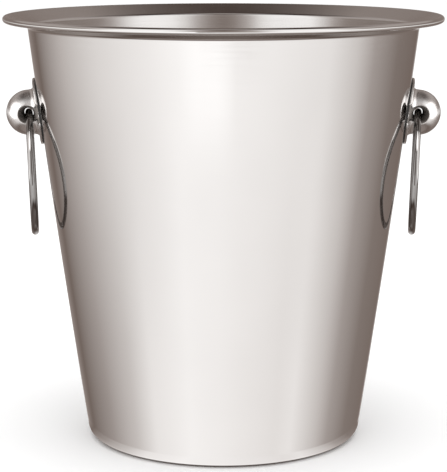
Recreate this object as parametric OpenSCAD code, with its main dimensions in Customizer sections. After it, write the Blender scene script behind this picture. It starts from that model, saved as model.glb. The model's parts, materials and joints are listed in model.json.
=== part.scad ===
// Champagne bucket with a ball-and-ring handle on each side.
// Units are millimetres. +Z is up, the origin is the centre of the base, handles lie along X.

/* [Bucket] */
// Outside diameter of the rolled rim
rim_d = 215; // [205:1:225]
// Overall height
bucket_h = 209.8; // [205:0.1:215]
// Outside diameter at the bottom of the wall
base_d = 137.1; // [130:0.1:142]
// Outside radius of the corner between base and wall
base_corner_r = 5.9; // [4:0.1:8]
// Outward bulge of the wall at half height
wall_bulge = 0.65; // [0:0.05:1.5]
// Thickness of the steel sheet
sheet_t = 0.7; // [0.6:0.1:1]
// Diameter of the rolled bead on the rim
bead_d = 3.2; // [2:0.1:3.8]
// Depth of the flare below the top of the rim
flare_h = 6.5; // [6:0.1:10]
// Overhang of the rim beyond the top of the wall
flare_w = 12.1; // [11:0.1:14]
// Radius of the bend between wall and flare
flare_bend_r = 1.5; // [1:0.5:3]

/* [Base] */
// Diameter of the raised panel in the base
panel_d = 104; // [90:1:110]
// Height of the raised panel
panel_rise = 1.5; // [0.5:0.5:3]

/* [Knob] */
// Height of the ball's centre
ball_z = 161.7; // [155:0.1:168]
// Diameter of the ball
ball_d = 22.4; // [20:0.2:24]
// Distance from the wall to the ball's centre
ball_reach = 5.8; // [5.5:0.1:8]
// Diameter of the knob's flange
flange_d = 33; // [30:1:36]
// Thickness of the flange
flange_t = 1.2; // [1:0.1:2]
// Radius of the fillet between neck and flange
neck_fillet_r = 2.2; // [1.5:0.1:2.6]
// Diameter of the ring bore at its mouths
bore_d = 8.4; // [8:0.1:8.8]
// Diameter of the bore's waist, halfway through the ball
bore_waist_d = 4.8; // [4.8:0.1:6]
// Radius of the rounded mouths of the bore
bore_mouth_r = 0.5; // [0.3:0.1:1]

/* [Ring] */
// Diameter of the ring at the middle of its rod
ring_d = 59.2; // [56:0.1:60]
// Diameter of the rod
rod_d = 3.8; // [3.4:0.1:4]
// Lean of the hanging ring towards the wall
ring_lean = 2; // [0:0.5:3]
// Turn of the ring in the slack of its bore
ring_turn = 6.2; // [0:0.1:7]

/* [Fasteners] */
// Thread diameter of the screws
screw_d = 4; // [3:0.5:4]
// Distance between the two screws of a knob
screw_pitch = 17; // [16:0.5:18]
// Depth of the screw in the knob
screw_grip = 6; // [5:0.5:7]
// Diameter of the screw head
head_d = 7.6; // [7:0.1:8]
// Height of the screw head
head_h = 2.2; // [1.8:0.1:2.6]
// Size across the flats of the hexagon socket
socket_af = 2.5; // [2:0.5:2.5]
// Thickness of the seal between flange and wall
seal_t = 0.5; // [0.3:0.1:0.8]
// Thickness of the backing plate inside the wall
plate_t = 1.2; // [1:0.1:2]
// Width of the backing plate
plate_w = 12; // [10:1:14]

/* [Hidden] */
$fn = 96;

// Steps of the curves, and small allowances
ARC_STEP = 7.5;
WALL_STEPS = 12;
THREAD_GAP = 0.03;
HOLE_GAP = 0.2;
TAP_RUNOUT = 1;
SOCKET_FLOOR = 1;
SEAL_SETBACK = 0.5;
WAIST_LAND = 0.5;
MOUTH_CUT = 0.03;
BURY = 4;

// Wall: a cone from the corner to the flare, bulged a little
rim_r = rim_d / 2;
bead_r = bead_d / 2;
corner_x = base_d / 2 - base_corner_r;
neck_z = bucket_h - flare_h;
neck_r = rim_r - flare_w;
taper = atan((neck_r - base_d / 2) / (neck_z - base_corner_r));
wall_z0 = base_corner_r * (1 - sin(taper));
wall_r0 = corner_x + base_corner_r * cos(taper);
wall_span = neck_z - wall_z0;
function wall_part(z) = (z - wall_z0) / wall_span;
function wall_r(z) = wall_r0 + (neck_r - wall_r0) * wall_part(z)
    + wall_bulge * 4 * wall_part(z) * (1 - wall_part(z));
wall_heights = [for (i = [1:WALL_STEPS - 1]) wall_z0 + wall_span * i / WALL_STEPS];

// Flare: a bend around an outside centre, then straight, with its upper face running onto the bead
bend_x = neck_r + flare_bend_r * cos(taper);
bend_z = neck_z - flare_bend_r * sin(taper);
bead_x = rim_r - bead_r;
bead_z = bucket_h - bead_r;
bead_reach = norm([bead_x - bend_x, bead_z - bend_z]);
flare_angle = atan2(bead_x - bend_x, bead_z - bend_z)
    + asin((flare_bend_r + sheet_t - bead_r) / bead_reach);
bead_top = 180 - flare_angle;
bead_under = bead_top + acos(1 - sheet_t / bead_r);

// Knob frame: its axis stands square to the wall, through the ball's centre
foot_z = ball_z + ball_reach * sin(taper);
foot_x = wall_r(foot_z);
ball_x = foot_x + ball_reach * cos(taper);
ball_r = ball_d / 2;
neck_top = seal_t + flange_t + neck_fillet_r;

// Bore: a short straight waist, then an arc that opens it out onto the rounded mouth
bore_r = bore_d / 2;
waist_r = bore_waist_d / 2;
mouth_x = bore_r + bore_mouth_r;
mouth_y = sqrt(pow(ball_r, 2) - pow(mouth_x, 2)) - MOUTH_CUT;
mouth_turn_y = mouth_y - bore_mouth_r;
bore_arc_y = mouth_turn_y - WAIST_LAND;
bore_arc_r = (pow(mouth_x - waist_r, 2) + pow(bore_arc_y, 2) - pow(bore_mouth_r, 2))
    / (2 * (bore_r - waist_r));
bore_arc_angle = asin(bore_arc_y / (bore_arc_r - bore_mouth_r));

screw_r = screw_d / 2;
screw_row = [-screw_pitch / 2, screw_pitch / 2];

function arc(x, z, r, a0, a1) =
    let (steps = ceil(abs(a1 - a0) / ARC_STEP))
    [for (i = [0:steps]) let (a = a0 + (a1 - a0) * i / steps) [x + r * cos(a), z + r * sin(a)]];

// One face of the sheet, from the middle of the base to the flare; inset 0 is the outside
function sheet_face(inset) = concat(
    [[0, panel_rise + inset]],
    [[panel_d / 2 - panel_rise - inset / 2, panel_rise + inset]],
    [[panel_d / 2 - inset / 2, inset]],
    arc(corner_x, base_corner_r, base_corner_r - inset, -90, -taper),
    [for (z = wall_heights) [wall_r(z) - inset / cos(taper), z]],
    arc(bend_x, bend_z, flare_bend_r + inset, 180 - taper, 180 - flare_angle)
);

function backwards(points) = [for (i = [len(points) - 1:-1:0]) points[i]];

module bucket_shell() {
    color("gainsboro") difference() {
        rotate_extrude() polygon(concat(
            sheet_face(0),
            arc(bead_x, bead_z, bead_r, bead_under, bead_top + 360),
            backwards(sheet_face(sheet_t))
        ));
        for (side = [0, 1]) mirror([side, 0, 0]) screw_places() screw_hole(screw_r + HOLE_GAP);
    }
}

// Moves its children to the foot of the right-hand knob, with their Z along the knob's axis
module at_knob() {
    translate([foot_x, 0, foot_z]) rotate([0, 90 + taper, 0]) children();
}

module screw_places() {
    at_knob() for (x = screw_row) translate([x, 0, 0]) children();
}

module screw_hole(r) {
    translate([0, 0, -BURY]) cylinder(r = r, h = 2 * BURY);
}

// The space inside the wall, grown by a distance, from well below to well above the flange
module wall_core(grow) {
    z0 = foot_z - flange_d;
    z1 = foot_z + flange_d;
    middle = [for (z = wall_heights) if (z > z0 && z < z1) z];
    heights = concat([z0], middle, [z1]);
    outline = [for (z = heights) [wall_r(z) + grow / cos(taper), z]];
    rotate_extrude() polygon(concat([[0, z0]], outline, [[0, z1]]));
}

// A flat outline along the knob's axis, kept only between two distances from the wall
module wall_skin(near, far) {
    difference() {
        intersection() {
            at_knob() translate([0, 0, -2 * BURY]) linear_extrude(4 * BURY) children();
            wall_core(far);
        }
        wall_core(near);
    }
}

module knob_body() {
    rotate_extrude() difference() {
        union() {
            intersection() {
                translate([0, ball_reach]) circle(r = ball_r);
                translate([0, ball_reach]) square([ball_r, ball_r]);
            }
            translate([0, -BURY]) square([ball_r, BURY + ball_reach]);
            translate([0, -BURY]) square([ball_r + neck_fillet_r, BURY + neck_top]);
        }
        translate([ball_r + neck_fillet_r, neck_top]) circle(r = neck_fillet_r);
        translate([ball_r + neck_fillet_r, neck_top - neck_fillet_r]) square(ball_r);
    }
}

// The bore flares from its waist to a rounded mouth at each end
module bore() {
    flare = arc(waist_r + bore_arc_r, WAIST_LAND, bore_arc_r, 180, 180 - bore_arc_angle);
    mouth = arc(mouth_x, mouth_turn_y, bore_mouth_r, 180 - bore_arc_angle, 90);
    upper = concat(flare, [for (i = [1:len(mouth) - 1]) mouth[i]], [[mouth_x, ball_r + BURY]]);
    lower = [for (i = [len(upper) - 1:-1:0]) [upper[i].x, -upper[i].y]];
    rotate([90, 0, 0]) rotate_extrude()
        polygon(concat([[0, -ball_r - BURY]], lower, upper, [[0, ball_r + BURY]]));
}

module knob() {
    difference() {
        union() {
            wall_skin(seal_t, seal_t + flange_t) circle(d = flange_d);
            difference() {
                at_knob() knob_body();
                wall_core(seal_t);
            }
        }
        translate([ball_x, 0, ball_z]) bore();
        screw_places() cylinder(r = screw_r + THREAD_GAP, h = screw_grip + TAP_RUNOUT);
    }
}

module ring() {
    translate([ball_x, 0, ball_z]) rotate([0, ring_lean, -ring_turn])
        translate([0, 0, -ring_d / 2]) rotate([0, 90, 0])
            rotate_extrude() translate([ring_d / 2, 0]) circle(d = rod_d);
}

module seal() {
    difference() {
        wall_skin(0, seal_t) circle(d = flange_d - 2 * SEAL_SETBACK);
        screw_places() screw_hole(screw_r + HOLE_GAP);
    }
}

module backing_plate() {
    difference() {
        wall_skin(-sheet_t - plate_t, -sheet_t) {
            square([screw_pitch, plate_w], center = true);
            for (x = screw_row) translate([x, 0]) circle(d = plate_w);
        }
        screw_places() screw_hole(screw_r + HOLE_GAP);
    }
}

// A dome-headed socket screw; place -1 is the upper one of the knob, 1 the lower
module screw(place) {
    head_z = -sheet_t - plate_t - HOLE_GAP;
    dome_r = (pow(head_d / 2, 2) + pow(head_h, 2)) / (2 * head_h);
    at_knob() translate([place * screw_pitch / 2, 0, 0]) difference() {
        union() {
            translate([0, 0, head_z]) cylinder(r = screw_r, h = screw_grip - head_z);
            rotate_extrude() intersection() {
                translate([0, head_z - head_h + dome_r]) circle(r = dome_r);
                translate([0, head_z - head_h]) square([head_d / 2, head_h]);
            }
        }
        translate([0, 0, head_z - SOCKET_FLOOR - BURY])
            cylinder(d = socket_af / cos(30), h = BURY, $fn = 6);
    }
}

module left() {
    mirror([1, 0, 0]) children();
}

module left_knob() { color("silver") left() knob(); }
module right_knob() { color("silver") knob(); }
module left_ring() { color("lightgray") left() ring(); }
module right_ring() { color("lightgray") ring(); }
module left_seal() { color("dimgray") left() seal(); }
module right_seal() { color("dimgray") seal(); }
module left_backing_plate() { color("darkgray") left() backing_plate(); }
module right_backing_plate() { color("darkgray") backing_plate(); }
module left_upper_screw() { color("gray") left() screw(-1); }
module left_lower_screw() { color("gray") left() screw(1); }
module right_upper_screw() { color("gray") screw(-1); }
module right_lower_screw() { color("gray") screw(1); }

bucket_shell();
left_knob();
right_knob();
left_ring();
right_ring();
left_seal();
right_seal();
left_backing_plate();
right_backing_plate();
left_upper_screw();
left_lower_screw();
right_upper_screw();
right_lower_screw();
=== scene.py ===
"""Champagne bucket: smooth lathed and cast meshes, polished-steel materials, studio and camera."""
import json
import math

import bpy
import numpy as np
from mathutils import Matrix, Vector


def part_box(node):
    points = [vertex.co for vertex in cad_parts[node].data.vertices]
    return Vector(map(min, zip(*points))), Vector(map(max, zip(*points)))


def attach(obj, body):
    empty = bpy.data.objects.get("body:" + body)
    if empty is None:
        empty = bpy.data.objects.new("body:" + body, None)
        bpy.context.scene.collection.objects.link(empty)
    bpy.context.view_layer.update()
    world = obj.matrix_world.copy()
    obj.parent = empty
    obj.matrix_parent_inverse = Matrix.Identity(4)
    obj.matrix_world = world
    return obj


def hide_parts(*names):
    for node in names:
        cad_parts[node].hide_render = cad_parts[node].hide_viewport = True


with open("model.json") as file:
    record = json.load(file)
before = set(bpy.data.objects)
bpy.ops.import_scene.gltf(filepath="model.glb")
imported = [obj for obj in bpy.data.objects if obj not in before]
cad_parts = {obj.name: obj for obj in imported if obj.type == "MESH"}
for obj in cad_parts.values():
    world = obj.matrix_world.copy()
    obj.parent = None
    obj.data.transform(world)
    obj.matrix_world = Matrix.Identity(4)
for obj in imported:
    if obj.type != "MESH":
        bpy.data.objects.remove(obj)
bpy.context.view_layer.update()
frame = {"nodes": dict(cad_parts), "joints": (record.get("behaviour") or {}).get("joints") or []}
MM = 0.001

# ---------------------------------------------------------------- sizes
# The rim and the height come from the frame, and the rest are the sheet's own sizes.
# NECK is where the wall ends and the flare starts.
shell_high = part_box("bucket_shell")[1]
RIM_R = shell_high.x
BUCKET_H = shell_high.z
SHEET = 0.7 * MM
BEAD_R = 1.6 * MM
BEND_R = 1.5 * MM
CORNER_R = 5.9 * MM
BASE_R = 68.55 * MM
PANEL_R = 52 * MM
PANEL_RISE = 1.5 * MM
BULGE = 0.65 * MM
PANEL_BEND = 1 * MM
ROUND_STEPS = 360
WALL_STEPS = 65
FLARE_W = 12.1 * MM
FLARE_H = 6.5 * MM
NECK_R = RIM_R - FLARE_W
NECK_Z = BUCKET_H - FLARE_H

corner_x = BASE_R - CORNER_R
taper = math.atan((NECK_R - BASE_R) / (NECK_Z - CORNER_R))
wall_z0 = CORNER_R * (1 - math.sin(taper))
wall_r0 = corner_x + CORNER_R * math.cos(taper)
wall_span = NECK_Z - wall_z0


def wall_r(z):
    """Outer radius of the wall at a height. z may be an array."""
    part = (z - wall_z0) / wall_span
    return wall_r0 + (NECK_R - wall_r0) * part + BULGE * 4 * part * (1 - part)


# ---------------------------------------------------------------- mesh helpers
def arc(x, z, r, start, end, step=5):
    """Points along an arc. Angles in degrees."""
    count = max(2, math.ceil(abs(end - start) / step))
    angles = np.radians(np.linspace(start, end, count + 1))
    return [(x + r * math.cos(a), z + r * math.sin(a)) for a in angles]


def add_object(name, verts, faces, normals, body, node):
    """A smooth piece with exact vertex normals, in place of a CAD node."""
    mesh = bpy.data.meshes.new(name)
    mesh.from_pydata([tuple(v) for v in verts], [], faces)
    mesh.polygons.foreach_set("use_smooth", [True] * len(faces))
    mesh.normals_split_custom_set_from_vertices([tuple(n) for n in normals])
    piece = bpy.data.objects.new(name, mesh)
    bpy.context.scene.collection.objects.link(piece)
    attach(piece, body)
    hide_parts(node)
    return piece


def lathe(profile, segments):
    """Vertices, faces and normals of an open profile of (radius, height) points turned round Z.

    The profile runs from the axis back to the axis, with the metal on its left.
    """
    points = np.array(profile)
    step = np.diff(points, axis=0)
    out = np.stack([step[:, 1], -step[:, 0]], axis=1)  # as long as its step, so long steps weigh more
    normal = np.zeros_like(points)
    normal[:-1] += out
    normal[1:] += out
    normal[0] = (0, out[0, 1])
    normal[-1] = (0, out[-1, 1])
    normal /= np.linalg.norm(normal, axis=1, keepdims=True)
    verts, normals, rings = [], [], []
    angles = [2 * math.pi * i / segments for i in range(segments)]
    for (r, z), (nr, nz) in zip(points, normal):
        turned = angles if r > 1e-9 else [0]
        rings.append(range(len(verts), len(verts) + len(turned)))
        verts += [(r * math.cos(a), r * math.sin(a), z) for a in turned]
        normals += [(nr * math.cos(a), nr * math.sin(a), nz) for a in turned]
    faces, bands = [], []
    for band, (lower, upper) in enumerate(zip(rings, rings[1:])):
        for i in range(segments):
            j = (i + 1) % segments
            corners = [lower[i % len(lower)], lower[j % len(lower)],
                       upper[j % len(upper)], upper[i % len(upper)]]
            faces.append(list(dict.fromkeys(corners)))
            bands.append(band)
    return verts, faces, normals, bands


# ---------------------------------------------------------------- bucket
bend_x = NECK_R + BEND_R * math.cos(taper)
bend_z = NECK_Z - BEND_R * math.sin(taper)
bead_x = RIM_R - BEAD_R
bead_z = BUCKET_H - BEAD_R
to_bead = math.hypot(bead_x - bend_x, bead_z - bend_z)
flare_angle = math.degrees(math.atan2(bead_x - bend_x, bead_z - bend_z)
                           + math.asin((BEND_R + SHEET - BEAD_R) / to_bead))
bead_top = 180 - flare_angle
bead_under = bead_top + math.degrees(math.acos(1 - SHEET / BEAD_R))


def sheet_face(inset):
    """One face of the sheet, from the middle of the base to the flare. Inset 0 is the outside."""
    tilt = math.degrees(taper)
    top = PANEL_RISE + inset
    slope = [(PANEL_R - PANEL_RISE - inset / 2, top), (PANEL_R - inset / 2, inset)]
    return (
        [(r * MM, top) for r in range(0, 46, 5)]
        + [(slope[0][0] - PANEL_BEND, top)] + slope + [(slope[1][0] + PANEL_BEND, inset)]
        + arc(corner_x, CORNER_R, CORNER_R - inset, -90, -tilt, 4)
        + [(wall_r(z) - inset / math.cos(taper), z)
           for z in np.linspace(wall_z0, NECK_Z, WALL_STEPS + 1)[1:-1]]
        + arc(bend_x, bend_z, BEND_R + inset, 180 - tilt, 180 - flare_angle, 4)
    )


def make_shell():
    """The shell, with material 0 on its outside and rim and material 1 inside."""
    outside = sheet_face(0)
    bead = arc(bead_x, bead_z, BEAD_R, bead_under, bead_top + 360, 8)
    inside = sheet_face(SHEET)[::-1]
    verts, faces, normals, bands = lathe(outside + bead + inside, ROUND_STEPS)
    shell = add_object("champagne_bucket_shell", verts, faces, normals,
                       "bucket", "bucket_shell")
    first_inside = len(outside) + len(bead) - 1
    shell.data.polygons.foreach_set("material_index", [int(b >= first_inside) for b in bands])
    return shell


# ---------------------------------------------------------------- rings
def make_ring(side, body):
    """A smooth torus, with its centre, plane and two radii taken from the CAD ring."""
    node = frame["nodes"][side + "_ring"]
    points = np.array([v.co for v in node.data.vertices], float)
    low, high = points.min(0), points.max(0)
    centre = (low + high) / 2
    axis = np.linalg.svd(points - centre, full_matrices=False)[2][2]
    along = (points - centre) @ axis
    rod_r = (along.max() - along.min()) / 2
    ring_r = np.linalg.norm(points - centre - np.outer(along, axis), axis=1).max() - rod_r
    turn = Vector((0, 0, 1)).rotation_difference(Vector(axis)).to_matrix()
    around, about = 240, 40
    verts, normals = [], []
    for i in range(around):
        a = 2 * math.pi * i / around
        for j in range(about):
            b = 2 * math.pi * j / about
            n = turn @ Vector((math.cos(a) * math.cos(b), math.sin(a) * math.cos(b), math.sin(b)))
            mid = turn @ Vector((math.cos(a), math.sin(a), 0)) * ring_r
            verts.append(Vector(centre) + mid + n * rod_r)
            normals.append(n)
    faces = [[i * about + j, (i + 1) % around * about + j,
              (i + 1) % around * about + (j + 1) % about, i * about + (j + 1) % about]
             for i in range(around) for j in range(about)]
    return add_object(side + "_swing_ring", verts, faces, normals, body, side + "_ring")


# ---------------------------------------------------------------- knobs
hinge = {j["child"]: j["pos_m"] for j in frame["joints"]}
BALL = np.array([abs(hinge["right_handle"][0]), 0, hinge["right_handle"][2]])
BALL_R = 11.2 * MM
AXIS = np.array([math.cos(taper), 0, -math.sin(taper)])
FLANGE_R = 16.5 * MM
SEAL = 0.5 * MM
FLANGE_TOP = SEAL + 1.2 * MM
FLANGE_EDGE = 0.35 * MM
NECK_FILLET = 2.2 * MM
MOUTH_R = 0.5 * MM
WAIST_R = 2.4 * MM
WAIST_LAND = 0.5 * MM
BORE_ARC_R = 24.59 * MM
BORE_FACE_ROOM = 0.15 * MM  # faces this close to the bore count as its own
NET_PITCH = 0.42 * MM


def rounded_corner(a, b, r):
    """Distance to the inside of two surfaces, with their outer edge rounded."""
    outside = np.hypot(np.maximum(a + r, 0), np.maximum(b + r, 0))
    return outside + np.minimum(np.maximum(a, b) + r, 0) - r


def fillet(a, b, r):
    """Union of two bodies, with a round fillet where they meet."""
    return np.maximum(r, np.minimum(a, b)) - np.hypot(np.maximum(r - a, 0), np.maximum(r - b, 0))


def bore_depth(from_ball):
    """Distance inside the flared bore, less than 0 in the metal round it."""
    off_axis = np.hypot(from_ball[..., 0], from_ball[..., 2])
    past_land = np.maximum(np.abs(from_ball[..., 1]) - WAIST_LAND, 0)
    return np.hypot(WAIST_R + BORE_ARC_R - off_axis, past_land) - BORE_ARC_R


def knob_distance(p):
    """Distance from points to the surface of the right-hand casting, less than 0 inside it."""
    from_ball = p - BALL
    along = from_ball @ AXIS
    off_axis = np.sqrt(np.maximum((from_ball ** 2).sum(-1) - along ** 2, 0))
    off_wall = (np.hypot(p[..., 0], p[..., 1]) - wall_r(p[..., 2])) * math.cos(taper)
    ball = np.linalg.norm(from_ball, axis=-1) - BALL_R
    stem = np.where(along > 0, ball, off_axis - BALL_R)
    flange = rounded_corner(off_axis - FLANGE_R, off_wall - FLANGE_TOP, FLANGE_EDGE)
    solid = fillet(stem, flange, NECK_FILLET)
    solid = rounded_corner(solid, SEAL - off_wall, FLANGE_EDGE)
    return rounded_corner(solid, bore_depth(from_ball), MOUTH_R)


def gradient(f, p):
    """Slope of f at points, by central differences."""
    h = 0.002 * MM
    steps = np.eye(3) * h
    return np.stack([(f(p + s) - f(p - s)) / (2 * h) for s in steps], axis=-1)


def surface_net(f, low, high, pitch):
    """A closed quad mesh of f = 0, one vertex for each grid cell that the surface crosses."""
    axes = [np.arange(lo, hi + pitch, pitch) for lo, hi in zip(low, high)]
    inside = f(np.stack(np.meshgrid(*axes, indexing="ij"), axis=-1)) < 0
    nx, ny, nz = (n - 1 for n in inside.shape)
    corners = sum(inside[i:i + nx, j:j + ny, k:k + nz].astype(int)
                  for i in (0, 1) for j in (0, 1) for k in (0, 1))
    crossed = (corners > 0) & (corners < 8)
    number = np.full(crossed.shape, -1)
    number[crossed] = np.arange(crossed.sum())
    cells = np.argwhere(crossed)
    verts = np.array([a[0] for a in axes]) + (cells + 0.5) * pitch
    faces = []
    for axis in range(3):
        one = np.moveaxis(inside, axis, 0)
        index = np.moveaxis(number, axis, 0)
        lower, upper = one[:-1, 1:-1, 1:-1], one[1:, 1:-1, 1:-1]
        for leaving in (True, False):
            k, i, j = np.nonzero((lower & ~upper) if leaving else (~lower & upper))
            quad = np.stack([index[k, i, j], index[k, i + 1, j],
                             index[k, i + 1, j + 1], index[k, i, j + 1]], axis=1)
            faces.append(quad if leaving == (axis != 1) else quad[:, ::-1])
    faces = np.concatenate(faces)
    for _ in range(12):  # each pass moves the vertices closer to f = 0
        value, slope = f(verts), gradient(f, verts)
        move = value[:, None] * slope / np.maximum((slope ** 2).sum(1, keepdims=True), 1e-6)
        verts = verts - np.clip(move, -pitch / 2, pitch / 2)
    normals = gradient(f, verts)
    return verts, faces, normals / np.linalg.norm(normals, axis=1, keepdims=True)


def make_knobs():
    """Both castings, with material 0 outside and material 1 in the bore. The left one is a mirror copy."""
    low, high = (np.array(corner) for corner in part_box("right_knob"))
    room = 1 * MM
    verts, faces, normals = surface_net(knob_distance, low - room, high + room, NET_PITCH)
    in_bore = (bore_depth(verts[faces].mean(axis=1) - BALL) > -BORE_FACE_ROOM).tolist()
    flip = np.array([-1, 1, 1])
    right = add_object("right_ball_knob", verts, faces.tolist(), normals,
                       "bucket", "right_knob")
    left = add_object("left_ball_knob", verts * flip, faces[:, ::-1].tolist(), normals * flip,
                      "bucket", "left_knob")
    for knob in (left, right):
        knob.data.polygons.foreach_set("material_index", in_bore)
    return left, right


# ---------------------------------------------------------------- materials
def put(tree, kind, inputs=None, **settings):
    """A shader node with its inputs linked or set."""
    node = tree.nodes.new("ShaderNode" + kind)
    for key, value in settings.items():
        setattr(node, key, value)
    for key, value in (inputs or {}).items():
        if isinstance(value, bpy.types.NodeSocket):
            tree.links.new(value, node.inputs[key])
        else:
            node.inputs[key].default_value = value
    return node


def maths(tree, operation, a, b=0.0):
    return put(tree, "Math", {0: a, 1: b}, operation=operation).outputs[0]


def spread(tree, value, low, high, to_low=0.0, to_high=1.0):
    """A value mapped from one range onto another."""
    return put(tree, "MapRange", {0: value, 1: low, 2: high, 3: to_low, 4: to_high}).outputs[0]


def off_centre(tree, x, y):
    """Distance from the bucket's axis."""
    squares = maths(tree, "ADD", maths(tree, "MULTIPLY", x, x), maths(tree, "MULTIPLY", y, y))
    return maths(tree, "SQRT", squares)


def turned_coordinates(tree, round_scale, line_scale):
    """Coordinates that run fast across a turned surface and slowly round it."""
    xyz = put(tree, "SeparateXYZ", {0: put(tree, "TexCoord").outputs["Object"]})
    x, y, z = xyz.outputs
    angle = maths(tree, "ARCTAN2", y, x)
    return put(tree, "CombineXYZ", {
        0: maths(tree, "MULTIPLY", angle, round_scale),
        1: maths(tree, "MULTIPLY", off_centre(tree, x, y), line_scale),
        2: maths(tree, "MULTIPLY", z, line_scale)}).outputs[0]


def noise(tree, vector, scale, detail=3.0, roughness=0.5):
    return put(tree, "TexNoise", {"Vector": vector, "Scale": scale, "Detail": detail,
                                  "Roughness": roughness}).outputs[0]


def steel(name, color, rough, rough_swing, smudge_scale, line=None, metallic=1.0):
    """Steel. line is (round scale, line scale, bump height in metres) for spun or polished lines."""
    material = bpy.data.materials.new(name)
    material.use_nodes = True
    tree = material.node_tree
    shader = tree.nodes["Principled BSDF"]
    shader.inputs["Metallic"].default_value = metallic
    place = put(tree, "TexCoord").outputs["Object"]
    smudge = noise(tree, place, smudge_scale, 4.0, 0.6)
    roughness = spread(tree, smudge, 0.35, 0.65, rough - rough_swing, rough + rough_swing)
    tone = spread(tree, noise(tree, place, smudge_scale / 3), 0.3, 0.7, 0.97, 1.03)
    if line:
        round_scale, line_scale, height = line
        lines = noise(tree, turned_coordinates(tree, round_scale, line_scale), 1.0, 2.0)
        roughness = maths(tree, "ADD", roughness, spread(tree, lines, 0.3, 0.7, -rough_swing, rough_swing))
        bump = put(tree, "Bump", {"Strength": 1.0, "Distance": height, "Height": lines})
        tree.links.new(bump.outputs[0], shader.inputs["Normal"])
    shade = put(tree, "VectorMath", {0: color}, operation="SCALE")
    tree.links.new(tone, shade.inputs["Scale"])
    tree.links.new(shade.outputs[0], shader.inputs["Base Color"])
    tree.links.new(roughness, shader.inputs["Roughness"])
    return material


STEEL = (0.64, 0.625, 0.615)

shell = make_shell()
knobs = make_knobs()
rings = [make_ring("left", "left_handle"), make_ring("right", "right_handle")]

mirror_steel = steel("mirror_steel", STEEL, rough=0.07, rough_swing=0.02, smudge_scale=30,
                     line=(3, 900, 0.0002 * MM))
spun_steel = steel("spun_steel", STEEL, rough=0.17, rough_swing=0.04, smudge_scale=25,
                   line=(2, 1400, 0.0008 * MM))
cast_steel = steel("cast_steel", STEEL, rough=0.27, rough_swing=0.03, smudge_scale=120)
# The bore is rough and dull, and its dark colour is painted shade in the recess.
shade_darkened_bore_steel = steel("shade_darkened_bore_steel", (0.2, 0.18, 0.165), rough=0.6, rough_swing=0.06, smudge_scale=600,
                   metallic=0.3)
# The rods are the same polished steel as the shell, given a darker colour: painted shade, so that what
# they mirror shows darker.
shade_darkened_rod_steel = steel("shade_darkened_rod_steel", (0.27, 0.261, 0.255), rough=0.07, rough_swing=0.02, smudge_scale=150)
shell.data.materials.append(mirror_steel)
shell.data.materials.append(spun_steel)
for knob in knobs:
    knob.data.materials.append(cast_steel)
    knob.data.materials.append(shade_darkened_bore_steel)
for ring in rings:
    ring.data.materials.append(shade_darkened_rod_steel)


def rubber():
    """Dull black rubber with a fine grain."""
    material = bpy.data.materials.new("seal_rubber")
    material.use_nodes = True
    tree = material.node_tree
    shader = tree.nodes["Principled BSDF"]
    grain = noise(tree, put(tree, "TexCoord").outputs["Object"], 900, 3.0)
    shade = put(tree, "ValToRGB", {0: grain})
    shade.color_ramp.elements[0].color = (0.02, 0.019, 0.018, 1)
    shade.color_ramp.elements[1].color = (0.05, 0.048, 0.046, 1)
    tree.links.new(shade.outputs[0], shader.inputs["Base Color"])
    tree.links.new(spread(tree, grain, 0.3, 0.7, 0.5, 0.75), shader.inputs["Roughness"])
    return material


seal_rubber = rubber()
plate_steel = steel("plate_steel", (0.62, 0.61, 0.60), rough=0.3, rough_swing=0.06, smudge_scale=200,
                    line=(400, 300, 0.002 * MM))
screw_steel = steel("screw_steel", (0.58, 0.57, 0.56), rough=0.22, rough_swing=0.05, smudge_scale=300)
for name, node in frame["nodes"].items():
    own = {"seal": seal_rubber, "plate": plate_steel, "screw": screw_steel}.get(name.split("_")[-1])
    if own:
        node.data.materials.clear()
        node.data.materials.append(own)

# ---------------------------------------------------------------- studio
scene = bpy.context.scene
scene.view_settings.view_transform = "Standard"


def grey(level):
    """Linear colour of a display level from 0 to 255. The darker it is, the warmer it is."""
    warm = (255 - level) / 148
    shown = (level + 8 * warm, level - 2 * warm, level - 7 * warm)
    return tuple((max(v, 0) / 255) ** 2.2 for v in shown) + (1,)


def ramp(tree, azimuth, stops):
    """Light round the studio, from (degrees, display level) stops. 0 is the front, 90 is to the right."""
    turn = spread(tree, azimuth, -math.pi, math.pi)
    node = put(tree, "ValToRGB", {0: turn})
    elements = node.color_ramp.elements
    while len(elements) < len(stops):
        elements.new(0.5)
    for element, (degrees, level) in zip(elements, stops):
        element.position = (degrees + 180) / 360
        element.color = grey(level)
    return node.outputs[0]


def mix(tree, factor, a, b):
    """A colour that goes from a to b as the factor goes from 0 to 1."""
    return put(tree, "Mix", {0: factor, 6: a, 7: b}, data_type="RGBA").outputs[2]


def from_front(tree, x, y):
    """Angle round the Z axis. 0 is the front, and it grows to the right."""
    return maths(tree, "ARCTAN2", x, maths(tree, "MULTIPLY", y, -1.0))


# Display levels round the studio, as (degrees, level) stops, or one level all the way round
TABLE_FAR = [(-180, 200), (-165, 120), (-145, 95), (-110, 175), (-80, 212), (-45, 234), (-28, 246),
             (-4, 245), (15, 240), (30, 237), (65, 225), (85, 195), (100, 152), (125, 114), (160, 92),
             (180, 200)]
TABLE_NEAR = [(-180, 200), (-165, 120), (-145, 98), (-110, 145), (-80, 190), (-60, 228), (-28, 243),
              (0, 236), (15, 230), (30, 225), (45, 220), (60, 226), (85, 188), (100, 152), (125, 116),
              (160, 98), (180, 200)]
HORIZON = [(-180, 100), (-150, 150), (-137, 200), (-112, 228), (-97, 246), (-60, 253), (-14, 253),
           (-12.5, 85), (-5, 122), (0, 148), (11, 166), (17, 180), (23, 234), (28, 250), (97, 246),
           (112, 228), (137, 200), (150, 150), (180, 100)]
PANELS = [(-56, 243), (-32, 240), (-24, 222), (-16, 165), (-7, 126), (0, 112), (7, 126), (16, 160),
          (24, 212), (32, 238), (56, 243), (65, 205)]
LOW_PANELS = ([(-180, 104), (-100, 116), (-83, 125), (-74, 150), (-65, 203)] + PANELS
              + [(74, 152), (83, 126), (100, 118), (180, 104)])
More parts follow.
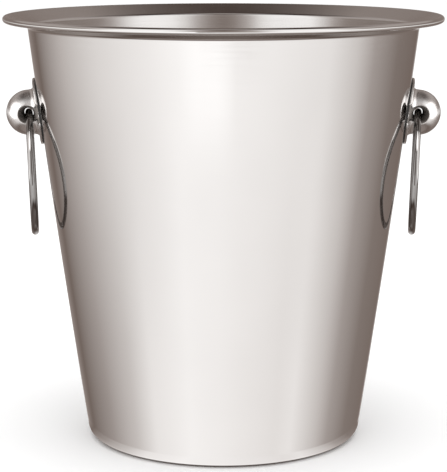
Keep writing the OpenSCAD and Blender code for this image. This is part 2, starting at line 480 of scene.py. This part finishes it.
HIGH_PANELS = ([(-180, 104), (-150, 145), (-80, 152), (-65, 205)] + PANELS
               + [(80, 152), (150, 145), (180, 104)])
GLARE = 256
BELOW = 90
UNDER = 122
OVERHEAD = 25
ZENITH = 150
IN_SHADOW = 50

# A soft bright spot on the far part of the table, by the cosine of the angle to it and by nearness
GLARE_AZIMUTH = -10
GLARE_EDGE = (0.955, 0.995)
GLARE_TOP = (-0.12, -0.075)

FRONT_RAISE = 0.27
FRONT_DROP = 0.06
AS_PAINTED = 1 / STEEL[0]  # the strength at which the metal shows the levels as they are painted
WHITE = 1.12  # the strength of the light on everything else


def make_studio():
    """A painted surround that only the metal sees, and plain white light on everything else."""
    world = bpy.data.worlds.new("studio")
    scene.world = world
    world.use_nodes = True
    tree = world.node_tree
    tree.nodes.clear()
    xyz = put(tree, "SeparateXYZ", {0: put(tree, "TexCoord").outputs["Generated"]})
    x, y, z = xyz.outputs
    azimuth = from_front(tree, x, y)

    # z is the sine of the angle above level. The other two are z, raised or lowered towards the front.
    across = maths(tree, "COSINE", maths(tree, "MULTIPLY", azimuth, 0.5))
    nearness = maths(tree, "ADD", z, maths(tree, "MULTIPLY", across, FRONT_RAISE))
    height = maths(tree, "ADD", z, maths(tree, "MULTIPLY", maths(tree, "COSINE", azimuth), -FRONT_DROP))
    beside = maths(tree, "COSINE", maths(tree, "SUBTRACT", azimuth, math.radians(GLARE_AZIMUTH)))
    glare = maths(tree, "MULTIPLY", spread(tree, beside, *GLARE_EDGE), spread(tree, nearness, *GLARE_TOP))

    # Each layer fades in over the ones before it, between two values of its measure.
    layers = [(nearness, -0.07, -0.26, TABLE_NEAR),
              (glare, 0.0, 1.0, GLARE),
              (z, -0.62, -0.78, BELOW),
              (z, -0.84, -0.9, UNDER),
              (nearness, -0.03, -0.015, HORIZON),
              (z, -0.02, 0.06, LOW_PANELS),
              (z, 0.28, 0.36, HIGH_PANELS),
              (height, 0.69, 0.95, OVERHEAD),
              (z, 0.94, 1.0, ZENITH)]
    light = ramp(tree, azimuth, TABLE_FAR)
    for measure, start, full, levels in layers:
        over = ramp(tree, azimuth, levels) if isinstance(levels, list) else grey(levels)
        light = mix(tree, spread(tree, measure, start, full), light, over)

    studio = put(tree, "Background", {"Color": light, "Strength": AS_PAINTED})
    white = put(tree, "Background", {"Color": (1, 1, 1, 1), "Strength": WHITE})
    in_metal = put(tree, "LightPath").outputs["Is Glossy Ray"]
    both = put(tree, "MixShader", {0: in_metal, 1: white.outputs[0], 2: studio.outputs[0]})
    put(tree, "OutputWorld", {0: both.outputs[0]})


def make_disc(name, radius, z):
    """A flat disc that belongs to the studio. Returns it with its material's node tree."""
    bpy.ops.mesh.primitive_circle_add(vertices=96, radius=radius, fill_type="NGON", location=(0, 0, z))
    disc = bpy.context.object
    disc.name = name
    material = bpy.data.materials.new(name)
    material.use_nodes = True
    disc.data.materials.append(material)
    return disc, material.node_tree


FLOOR_R = 12
FLOOR_Z = -0.4 * MM


def make_floor():
    """A plain pale floor that the metal doesn't mirror."""
    floor, tree = make_disc("floor", FLOOR_R, FLOOR_Z)
    shader = tree.nodes["Principled BSDF"]
    shader.inputs["Base Color"].default_value = (0.9, 0.9, 0.9, 1)
    shader.inputs["Roughness"].default_value = 0.9
    shader.inputs["Specular IOR Level"].default_value = 0
    floor.visible_glossy = False


FOOT_REACH = 8 * MM
FOOT_Z = -0.2 * MM
SHADOW_EDGE = (BASE_R - 4.2 * MM, BASE_R - 3 * MM)
FOOT_TURN = 1.7  # the foot mirrors the table at nearly twice its own angle from the front


def make_foot_light():
    """The lit table right at the foot, dark under the bucket, seen only in the metal."""
    disc, tree = make_disc("foot_light", BASE_R + FOOT_REACH, FOOT_Z)
    tree.nodes.clear()
    x, y, _ = put(tree, "SeparateXYZ", {0: put(tree, "TexCoord").outputs["Object"]}).outputs
    azimuth = from_front(tree, x, y)
    clear = spread(tree, off_centre(tree, x, y), *SHADOW_EDGE)
    table = ramp(tree, maths(tree, "MULTIPLY", azimuth, FOOT_TURN), TABLE_NEAR)
    light = mix(tree, clear, grey(IN_SHADOW), table)
    glow = put(tree, "Emission", {"Color": light, "Strength": AS_PAINTED})
    put(tree, "OutputMaterial", {0: glow.outputs[0]})
    disc.visible_camera = False
    disc.visible_diffuse = False
    disc.visible_shadow = False


def make_light(name, place, target, size, power, seen_in=()):
    """A round soft light. The metal shows it only in the pieces that seen_in lists."""
    data = bpy.data.lights.new(name, "AREA")
    data.shape = "DISK"
    data.size = size
    data.energy = power
    light = bpy.data.objects.new(name, data)
    scene.collection.objects.link(light)
    light.location = place
    light.rotation_euler = (Vector(target) - Vector(place)).to_track_quat("-Z", "Y").to_euler()
    light.visible_glossy = bool(seen_in)
    if seen_in:
        lit = bpy.data.collections.new(name + "_pieces")
        for piece in seen_in:
            lit.objects.link(piece)
        light.light_linking.receiver_collection = lit


make_studio()
make_floor()
make_foot_light()
make_light("top_softbox", place=(0, -0.3, 2.2), target=(0, 0, 0), size=2.4, power=22)
for side, knob, ring in zip((-1, 1), knobs, rings):
    ball = (side * BALL[0], 0, BALL[2])
    make_light("knob_light", place=(side * 0.2, -0.035, 0.181), target=ball, size=0.14, power=0.075,
               seen_in=[knob, ring])
    make_light("ring_light", place=(side * 0.25, -0.2, 0.55), target=ball, size=0.34, power=1.0,
               seen_in=[ring])

# ---------------------------------------------------------------- camera
CAMERA_BACK = 0.8805
CAMERA_UP = 0.2599
CAMERA_PITCH = 10.32
camera_data = bpy.data.cameras.new("camera")
camera_data.sensor_width = 36
camera_data.lens = 136.5
camera = bpy.data.objects.new("camera", camera_data)
camera.location = (0, -CAMERA_BACK, CAMERA_UP)
camera.rotation_euler = (math.radians(90 - CAMERA_PITCH), 0, 0)
scene.collection.objects.link(camera)
scene.camera = camera
